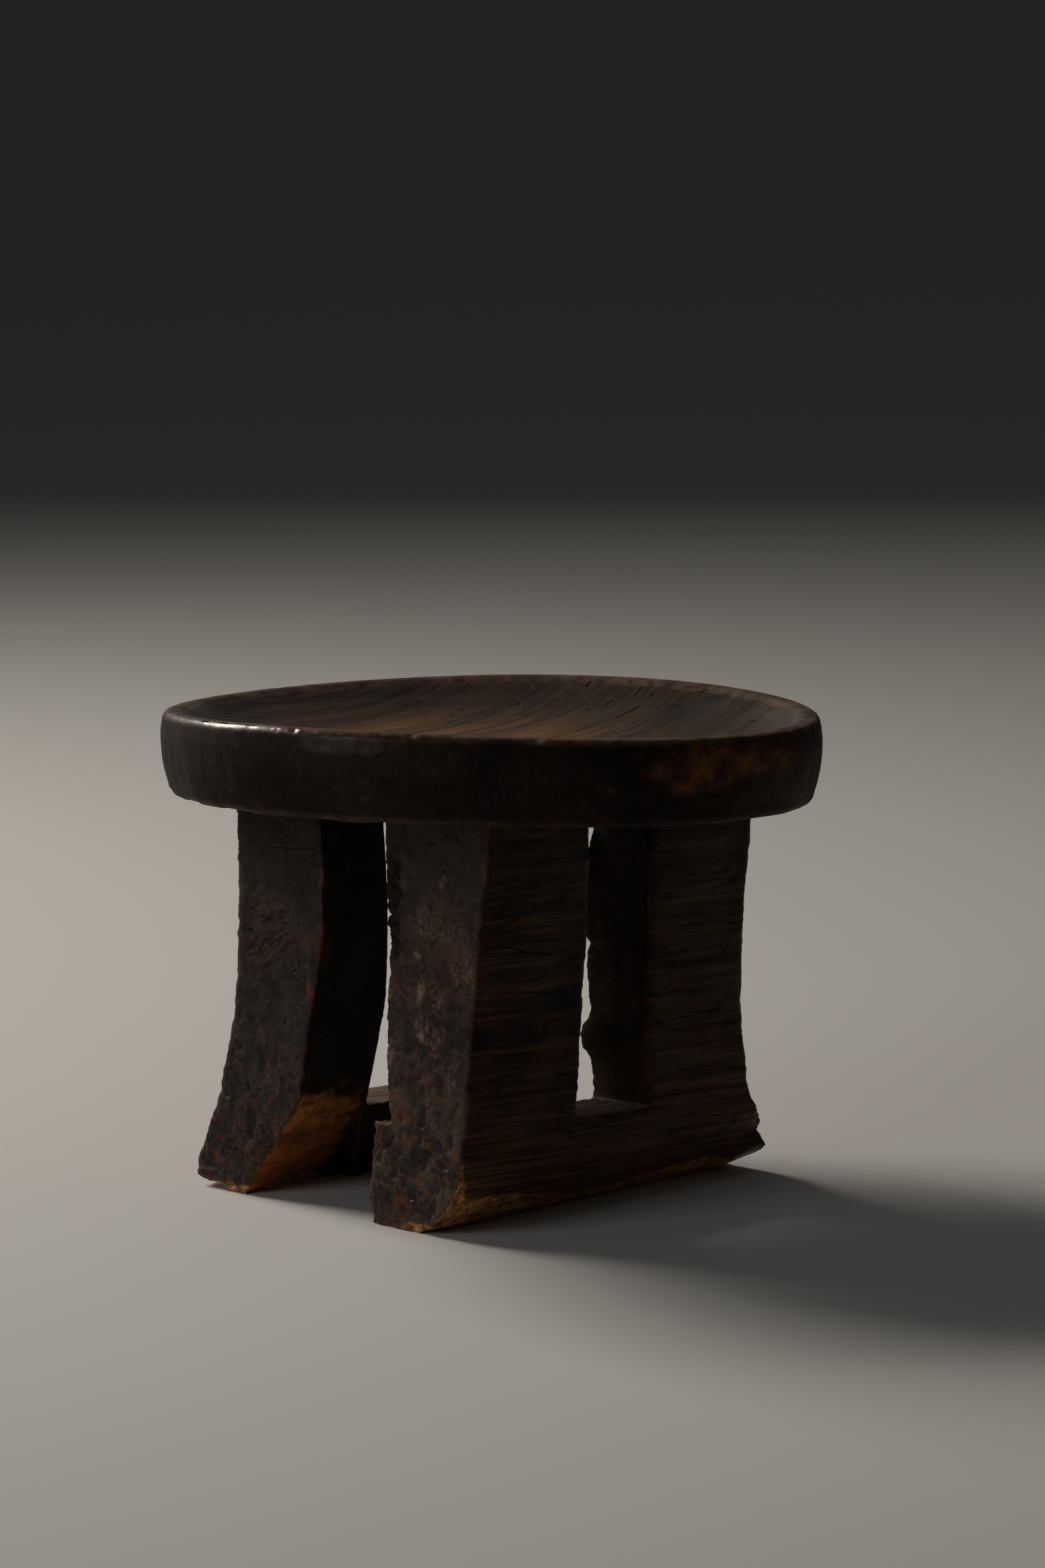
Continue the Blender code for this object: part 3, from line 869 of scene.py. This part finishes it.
def frame_wood(name, is_left):
    """Old dark wood of a slotted frame. It reads what the carving kept on the mesh."""
    g = Graph(name)
    block = g.attribute("block", vector=True)
    bare = g.attribute("bare")
    end = g.attribute("end_grain")
    w = solid_wood(g, block)
    height = g.separate(block)[2]
    colour = patina(g, w, 1.0)
    # Lighter towards the ground: partly dust and olive-tan streaks, partly painted light bounced up from
    # the floor.
    dust_and_bounce_light = g.times(g.between(height, 0.110, 0.0, 0.0, 0.95), g.between(w["streak"], 0.40, 0.56, 0.32, 1.0))
    colour = g.mix(dust_and_bounce_light, colour, (0.150, 0.073, 0.0330))
    # Darker towards the seat: painted shade under it.
    colour = g.mix(g.between(height, 0.130, 0.205, 0.0, 0.45), colour, (0.0068, 0.0046, 0.0034))
    # Painted shade on the inner faces and slots, between the frames under the seat.
    colour = g.mix(g.times(g.attribute("shaded_inner"), 0.80), colour, (0.0056, 0.0040, 0.0030))
    colour = g.mix(end, colour, end_grain_colour(g, w, height, is_left))
    stained = g.times(g.attribute("rust"), g.between(w["flake"], 0.38, 0.56, 0.25, 1.0))
    colour = g.mix(g.times(stained, 0.70), colour, (0.150, 0.040, 0.0125))

    # The low bars' tops are dusty and dry. On the right frame they are darker, partly as painted shade in
    # its slot.
    if is_left:
        dry_and_shaded_dark, dry_and_shaded_light = (0.030, 0.016, 0.0105), (0.190, 0.104, 0.066)
    else:
        # Darker: partly painted shade in the slot between the right frame's legs.
        dry_and_shaded_dark, dry_and_shaded_light = (0.026, 0.0155, 0.0100), (0.120, 0.070, 0.0420)
    dusty_and_shaded = g.mix(g.between(w["streak"], 0.38, 0.62), dry_and_shaded_dark, dry_and_shaded_light)
    colour = g.mix(g.attribute("top_grain"), colour, dusty_and_shaded)

    # Worn arrises show warm brown wood.
    patchy = g.times(g.between(w["blotch"], 0.44, 0.62), g.between(w["cloud"], 0.38, 0.55, 0.3, 1.0))
    arris_tint = g.times(g.attribute("arris"), patchy, 0.60)
    colour = g.mix(arris_tint, colour, (0.150, 0.060, 0.0260))
    colour = g.mix(bare, colour, bare_wood_colour(g, w, height))

    cracked = g.times(w["lines"], w["where"], g.math("SUBTRACT", 1.0, g.times(end, 0.8)))
    if is_left:
        cuts = g.times(knife_cuts(g, block), g.attribute("cuts"))
        colour = g.mix(g.times(g.attribute("cuts"), 0.35), colour, (0.080, 0.040, 0.020))
        colour = g.mix(g.times(cuts, 0.95), colour, (0.0050, 0.0028, 0.0020))
        cracked = g.math("MAXIMUM", cracked, g.times(end_cracks(g, block), end))
    dark = g.math("MAXIMUM", cracked, g.attribute("dark"))
    colour = g.mix(g.times(dark, 0.85), colour, (0.0042, 0.0032, 0.0028))
    g.put(g.shader.inputs["Base Color"], colour)

    rough = g.between(w["cloud"], 0.3, 0.7, 0.56, 0.40)
    rough = g.math("ADD", rough, g.times(end, g.between(w["blotch"], 0.4, 0.6, -0.08, 0.16)))
    rough = g.math("ADD", rough, g.times(bare, 0.30))
    rough = g.math("ADD", rough, g.times(dark, 0.20))
    rough = g.math("ADD", rough, g.times(g.attribute("top_grain"), 0.40))
    rough = g.math("ADD", rough, g.times(g.attribute("shaded_inner"), 0.22))
    rough = g.math("SUBTRACT", rough, g.times(end, g.between(height, 0.060, 0.010, 0.0, 0.14)))
    rough = g.math("SUBTRACT", rough, g.times(g.attribute("gloss"), 0.26), clamp=True)
    g.put(g.shader.inputs["Roughness"], rough)
    g.shader.inputs["Specular IOR Level"].default_value = FRAME_SPECULAR
    g.shader.inputs["Specular Tint"].default_value = RESIN_TINT
    g.put(g.shader.inputs["Normal"], wood_height(g, w, cracked, 0.0007))
    return g.material


def end_grain_colour(g, w, height, is_left):
    """End grain: mottled, smooth and greyish above, where painted shade under the seat darkens it, flecked
    tan in the middle, and dented and rusty below. The left frame has far fewer flecks, and its end grain
    is darker as painted shade."""
    pale = g.attribute("pale")
    # The left frame's end grain is darker than the right's as painted shade, and it has far fewer flecks.
    if is_left:
        end_dark, end_light, flecks = (0.0120, 0.0108, 0.0104), (0.0270, 0.0205, 0.0175), 0.25
    else:
        end_dark, end_light, flecks = (0.0145, 0.0118, 0.0108), (0.056, 0.0360, 0.0260), 1.0
    colour = g.mix(g.between(w["blotch"], 0.38, 0.60), end_dark, end_light)
    near_pale = g.between(pale, 0.05, 0.45, 0.30, 1.0)
    middle = g.times(g.between(w["cloud"], 0.40, 0.58), near_pale, 0.85 * flecks)
    colour = g.mix(middle, colour, (0.096, 0.0500, 0.0310))
    rusty = g.times(g.between(w["flake"], 0.50, 0.60), g.between(height, 0.110, 0.020, 0.10, 0.55))
    colour = g.mix(rusty, colour, (0.125, 0.044, 0.0200))
    flaked = g.times(pale, g.between(w["speck"], 0.50, 0.60), g.between(w["blotch"], 0.42, 0.56))
    colour = g.mix(flaked, colour, (0.240, 0.135, 0.085))
    fleck = g.times(g.between(w["grit"], 0.56, 0.63), g.between(w["blotch"], 0.46, 0.58), 0.45 * flecks)
    colour = g.mix(fleck, colour, (0.170, 0.090, 0.056))
    colour = g.mix(g.between(w["speck"], 0.44, 0.37, 0.0, 0.75), colour, (0.0085, 0.0070, 0.0066))
    scarred = g.times(g.attribute("scar"), g.between(w["speck"], 0.36, 0.52, 0.35, 1.0))
    colour = g.mix(scarred, colour, (0.260, 0.155, 0.105))
    # Darker and greyer towards the seat: painted shade under it.
    colour = g.mix(g.between(height, 0.140, 0.195, 0.0, 0.60), colour, (0.0165, 0.0142, 0.0132))
    return g.mix(g.attribute("dent"), colour, (0.0120, 0.0100, 0.0098))


def bare_wood_colour(g, w, height):
    """Bare wood: tan and fibrous where the soles wore, and orange on the torn facet."""
    tan = g.mix(g.between(w["flake"], 0.38, 0.60), (0.25, 0.105, 0.035), (0.64, 0.310, 0.120))
    tan = g.mix(g.between(w["fibre"], 0.46, 0.32, 0.0, 0.6), tan, (0.085, 0.034, 0.012))
    tan = g.mix(g.between(w["blotch"], 0.55, 0.66, 0.0, 0.75), tan, (0.075, 0.032, 0.014))
    orange = g.mix(g.between(w["flake"], 0.34, 0.62), (0.28, 0.090, 0.021), (0.52, 0.195, 0.052))
    orange = g.mix(g.between(w["slow"], 0.50, 0.62, 0.0, 0.75), orange, (0.120, 0.038, 0.010))
    orange = g.mix(g.between(w["fibre"], 0.42, 0.30, 0.0, 0.5), orange, (0.080, 0.026, 0.008))
    orange = g.mix(g.between(height, 0.036, 0.006, 0.0, 0.6), orange, (0.520, 0.145, 0.030))
    return g.mix(g.attribute("warm"), tan, orange)


def knife_cuts(g, block):
    """Short slanting cuts across an end face, from 0 to 1."""
    run = (0.0, -70.0 * math.cos(CUTS_RISE), 70.0 * math.sin(CUTS_RISE))
    over = (0.0, 300.0 * math.sin(CUTS_RISE), 300.0 * math.cos(CUTS_RISE))
    slanted = g.nodes.new("ShaderNodeCombineXYZ")
    g.put(slanted.inputs["X"], g.vector("DOT_PRODUCT", block, run, out="Value"))
    g.put(slanted.inputs["Y"], g.vector("DOT_PRODUCT", block, over, out="Value"))
    value = g.noise(slanted.outputs[0], 1.0, 1.0, 0.5)
    away = g.math("ABSOLUTE", g.math("SUBTRACT", value, 0.5))
    shorter = g.between(g.noise(g.scaled(slanted.outputs[0], (1.3, 0.5, 1.0)), 1.0, 1.0), 0.36, 0.50)
    return g.times(g.between(away, 0.02, 0.080, 1.0, 0.0), shorter)


def end_cracks(g, block):
    """The few single cracks in the left front leg's end face, from 0 to 1."""
    flat = g.vector("MULTIPLY", g.vector("ADD", block, bend(g, block, 0.003)), SEEN_FROM_FRONT)
    total = g.near_line(flat, (0.0, 0.0450, 0.1370), (0.0, 0.0400, 0.1210), 0.0010)
    total = g.math("MAXIMUM", total, g.near_line(flat, (0.0, 0.036, 0.118), (0.0, 0.034, 0.106), 0.0009))
    faint = g.near_line(flat, (0.0, 0.070, 0.184), (0.0, 0.036, 0.186), 0.0010)
    return g.math("MAXIMUM", total, g.times(faint, 0.5))


def bend(g, block, amount):
    """A small wandering shift, to bend straight lines."""
    node = g.nodes.new("ShaderNodeTexNoise")
    g.put(node.inputs["Vector"], block)
    node.inputs["Scale"].default_value = 120.0
    node.inputs["Detail"].default_value = 2.0
    centred = g.vector("SUBTRACT", node.outputs["Color"], (0.5, 0.5, 0.5))
    return g.scaled(centred, (amount, amount, amount))


def seat_wood(name):
    """The seat's wood: a handled wall and lip, and a dish polished by use, with its cracks."""
    g = Graph(name)
    block = g.attribute("block", vector=True)
    dish = g.attribute("dish")
    warm = g.attribute("warm")
    w = solid_wood(g, block)
    grain = g.noise(g.scaled(block, (9.0, 320.0, 12.0)), 1.0, 3.0, 0.62)
    # How far to the front, where painted shade darkens the wall and the dish.
    front_shade = g.between(g.separate(block)[0], 0.02, -0.16)

    # The wall: near black, warm where hands wore it, with scuffs and specks, the pale specks partly
    # painted glints. It is darkened all round, and more to the front as painted shade.
    colour = patina(g, w, 0.35)
    # Warm wear on the wall, and in the dish the painted pool of light, both from the 'warm' attribute.
    warm_wear_and_light = g.times(warm, g.between(w["blotch"], 0.38, 0.60, 0.25, 1.0))
    colour = g.mix(g.times(warm_wear_and_light, 0.9), colour, (0.360, 0.120, 0.0270))
    # Painted shade on the wall, growing to the front.
    wall_dark_and_shade = g.times(g.attribute("wall"), g.math("ADD", 0.40, g.times(front_shade, 0.35)))
    colour = g.mix(wall_dark_and_shade, colour, (0.0050, 0.0034, 0.0028))
    scuffs = g.times(g.between(w["flake"], 0.50, 0.62), g.between(w["cloud"], 0.42, 0.58), 0.5)
    colour = g.mix(scuffs, colour, (0.046, 0.0210, 0.0115))
    # Pale specks, partly painted glints.
    colour = g.mix(g.times(g.between(w["grit"], 0.62, 0.70), 0.35), colour, (0.090, 0.055, 0.038))
    colour = g.mix(g.between(w["speck"], 0.44, 0.36, 0.0, 0.6), colour, (0.0048, 0.0034, 0.0030))
    colour = g.mix(dish, colour, dish_colour(g, w, block, grain, front_shade))

    # The lip is worn to warm brown wood. The lower arris is lightened the same way, as a painted
    # highlight.
    lip_colour = g.mix(g.between(w["blotch"], 0.38, 0.62), (0.026, 0.013, 0.0075), (0.090, 0.046, 0.026))
    colour = g.mix(g.times(g.attribute("lip"), 0.9), colour, lip_colour)
    arris_tint = g.times(g.attribute("arris"), g.between(w["blotch"], 0.36, 0.56, 0.25, 1.0))
    colour = g.mix(g.times(arris_tint, 0.75), colour, (0.165, 0.092, 0.054))
    colour = g.mix(g.attribute("pale"), colour, (0.30, 0.22, 0.17))

    cracked = g.times(dish_cracks(g, w, block), dish)
    dark = g.math("MAXIMUM", cracked, g.attribute("dark"))
    colour = g.mix(g.times(dark, 0.9), colour, (0.0050, 0.0036, 0.0030))
    g.put(g.shader.inputs["Base Color"], colour)

    rough = g.between(w["cloud"], 0.3, 0.7, 0.82, 0.66)
    rough = g.math("ADD", rough, g.times(dark, 0.20))
    rough = g.math("ADD", rough, g.times(g.between(w["speck"], 0.40, 0.60, -0.5, 0.5), 0.10))
    rough = g.math("ADD", rough, g.times(dish, 0.14))
    rough = g.math("SUBTRACT", rough, g.times(g.attribute("gloss"), 0.62), clamp=True)
    g.put(g.shader.inputs["Roughness"], rough)
    g.shader.inputs["Specular IOR Level"].default_value = SEAT_SPECULAR
    g.shader.inputs["Specular Tint"].default_value = RESIN_TINT
    w["streak"] = grain
    g.put(g.shader.inputs["Normal"], wood_height(g, w, cracked, 0.0012))
    return g.material


def dish_colour(g, w, block, grain, front_shade):
    """The dish: brown, darker to the front as painted shade and lighter and warmer in its middle as a
    painted pool of light, with fine lines along the grain and one dark stripe.
    """
    broad = g.noise(g.scaled(block, (6.0, 85.0, 6.0)), 1.0, 3.0, 0.55)
    brown = g.mix(g.between(broad, 0.36, 0.64), (0.0165, 0.0082, 0.0043), (0.0285, 0.0138, 0.0066))
    # Painted shade darkens the dish to the front.
    brown = g.mix(g.times(front_shade, 0.75), brown, (0.0065, 0.0036, 0.0024))
    # A painted pool of warm light in the dish's middle.
    warm_wear_and_light = g.times(g.attribute("warm"), g.between(broad, 0.34, 0.58, 0.30, 1.0))
    brown = g.mix(warm_wear_and_light, brown, (0.215, 0.092, 0.029))
    brown = g.mix(g.between(grain, 0.54, 0.66, 0.0, 0.42), brown, (0.088, 0.044, 0.021))
    brown = g.mix(g.between(grain, 0.46, 0.36, 0.0, 0.70), brown, (0.0080, 0.0048, 0.0034))
    brown = g.mix(g.between(w["grit"], 0.40, 0.33, 0.0, 0.6), brown, (0.0070, 0.0045, 0.0035))
    brown = g.mix(g.between(w["cloud"], 0.42, 0.30, 0.0, 0.5), brown, (0.012, 0.0075, 0.0056))
    above = g.vector("MULTIPLY", block, SEEN_FROM_ABOVE)
    stripe = g.math("MAXIMUM", *[g.near_line(above, *stretch) for stretch in STRIPES])
    brown = g.mix(g.times(stripe, 0.8), brown, (0.012, 0.0080, 0.0068))
    scratched = g.lines(g.vector("ADD", block, bend(g, block, 0.0015)), (11.0, 130.0, 130.0), 0.010, 1.0)
    scratched = g.times(scratched, g.between(w["blotch"], 0.50, 0.60), 0.28)
    return g.mix(scratched, brown, (0.190, 0.120, 0.075))


def dish_cracks(g, w, block):
    """Drying cracks and insect holes, seen from above, from 0 to 1."""
    bent = g.vector("ADD", block, bend(g, block, 0.003))
    above = g.vector("MULTIPLY", bent, SEEN_FROM_ABOVE)
    cracked = g.times(w["lines"], g.between(w["where"], 0.5, 1.0, 0.0, 0.30))
    for start, end, width in CRACKS:
        cracked = g.math("MAXIMUM", cracked, g.near_line(above, (*start, 0.0), (*end, 0.0), width))
    for hole in HOLES:
        gap = g.vector("DISTANCE", above, (*hole, 0.0), out="Value")
        cracked = g.math("MAXIMUM", cracked, g.between(gap, 0.0007, 0.0014, 1.0, 0.0))
    return cracked


def plain(name, colour, roughness):
    made = bpy.data.materials.new(name)
    made.use_nodes = True
    shader = made.node_tree.nodes["Principled BSDF"]
    shader.inputs["Base Color"].default_value = (*colour, 1.0)
    shader.inputs["Roughness"].default_value = roughness
    return made


# ---- The stool ----


def add_frame(word, side, seed):
    nodes = [f"{word}_front_leg", f"{word}_rear_leg", f"{word}_runner"]
    piece = remeshed(f"{word}_frame", nodes, FRAME_VOXEL)
    carve_frame(piece, side, seed)
    piece.data.materials.clear()
    piece.data.materials.append(frame_wood(f"{word}_frame_wood", side > 0))
    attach(piece, "root")
    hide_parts(*nodes)


def add_seat():
    piece = remeshed("stool_seat", ["seat"], SEAT_VOXEL)
    carve_seat(piece)
    piece.data.materials.clear()
    piece.data.materials.append(seat_wood("stool_seat_wood"))
    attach(piece, "root")
    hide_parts("seat")


# ---- The studio ----


def add_floor():
    bpy.ops.mesh.primitive_plane_add(size=24.0, location=(4.0, 4.0, 0.0))
    floor = bpy.context.active_object
    floor.name = "studio_floor"
    floor.data.materials.append(plain("studio_floor", (0.56, 0.53, 0.49), 0.85))


def add_area(name, place, target, size, power, colour, spread):
    light = bpy.data.lights.new(name, "AREA")
    light.shape = "RECTANGLE"
    light.size, light.size_y = size
    light.energy = power
    light.color = colour
    light.spread = math.radians(spread)
    made = bpy.data.objects.new(name, light)
    bpy.context.scene.collection.objects.link(made)
    made.location = place
    aim = Vector(target) - made.location
    made.rotation_euler = aim.to_track_quat("-Z", "Y").to_euler()
    made.visible_camera = False


def add_lights():
    add_area(
        "window_back_left",
        place=(-0.1, 2.9, 2.2),
        target=(-0.25, -0.2, 0.0),
        size=(1.5, 1.2),
        power=32.0,
        colour=(1.0, 0.96, 0.90),
        spread=95.0,
    )
    add_area(
        "window_left",
        place=(-3.2, 0.5, 1.5),
        target=(0.0, 0.0, 0.15),
        size=(1.8, 1.5),
        power=7.0,
        colour=(0.88, 0.94, 1.0),
        spread=110.0,
    )
    add_area(
        "card_behind",
        place=(2.1, 2.0, 0.9),
        target=(0.0, 0.0, 0.25),
        size=(2.6, 0.7),
        power=1.3,
        colour=(1.0, 0.99, 0.97),
        spread=180.0,
    )
    world = bpy.data.worlds.new("studio")
    world.use_nodes = True
    background = world.node_tree.nodes["Background"]
    background.inputs["Color"].default_value = (0.80, 0.79, 0.76, 1.0)
    background.inputs["Strength"].default_value = 0.035
    bpy.context.scene.world = world
    bpy.context.scene.view_settings.view_transform = "Standard"


def add_camera():
    camera = bpy.data.cameras.new("camera")
    camera.sensor_fit = "AUTO"
    camera.sensor_width = 36.0
    camera.lens = CAMERA_LENS
    camera.clip_end = 100.0
    made = bpy.data.objects.new("camera", camera)
    bpy.context.scene.collection.objects.link(made)
    made.location = CAMERA_PLACE
    made.rotation_euler = CAMERA_LOOK.to_track_quat("-Z", "Y").to_euler()
    bpy.context.scene.camera = made


add_frame("right", -1, 301)
add_frame("left", 1, 401)
add_seat()
add_floor()
add_lights()
add_camera()
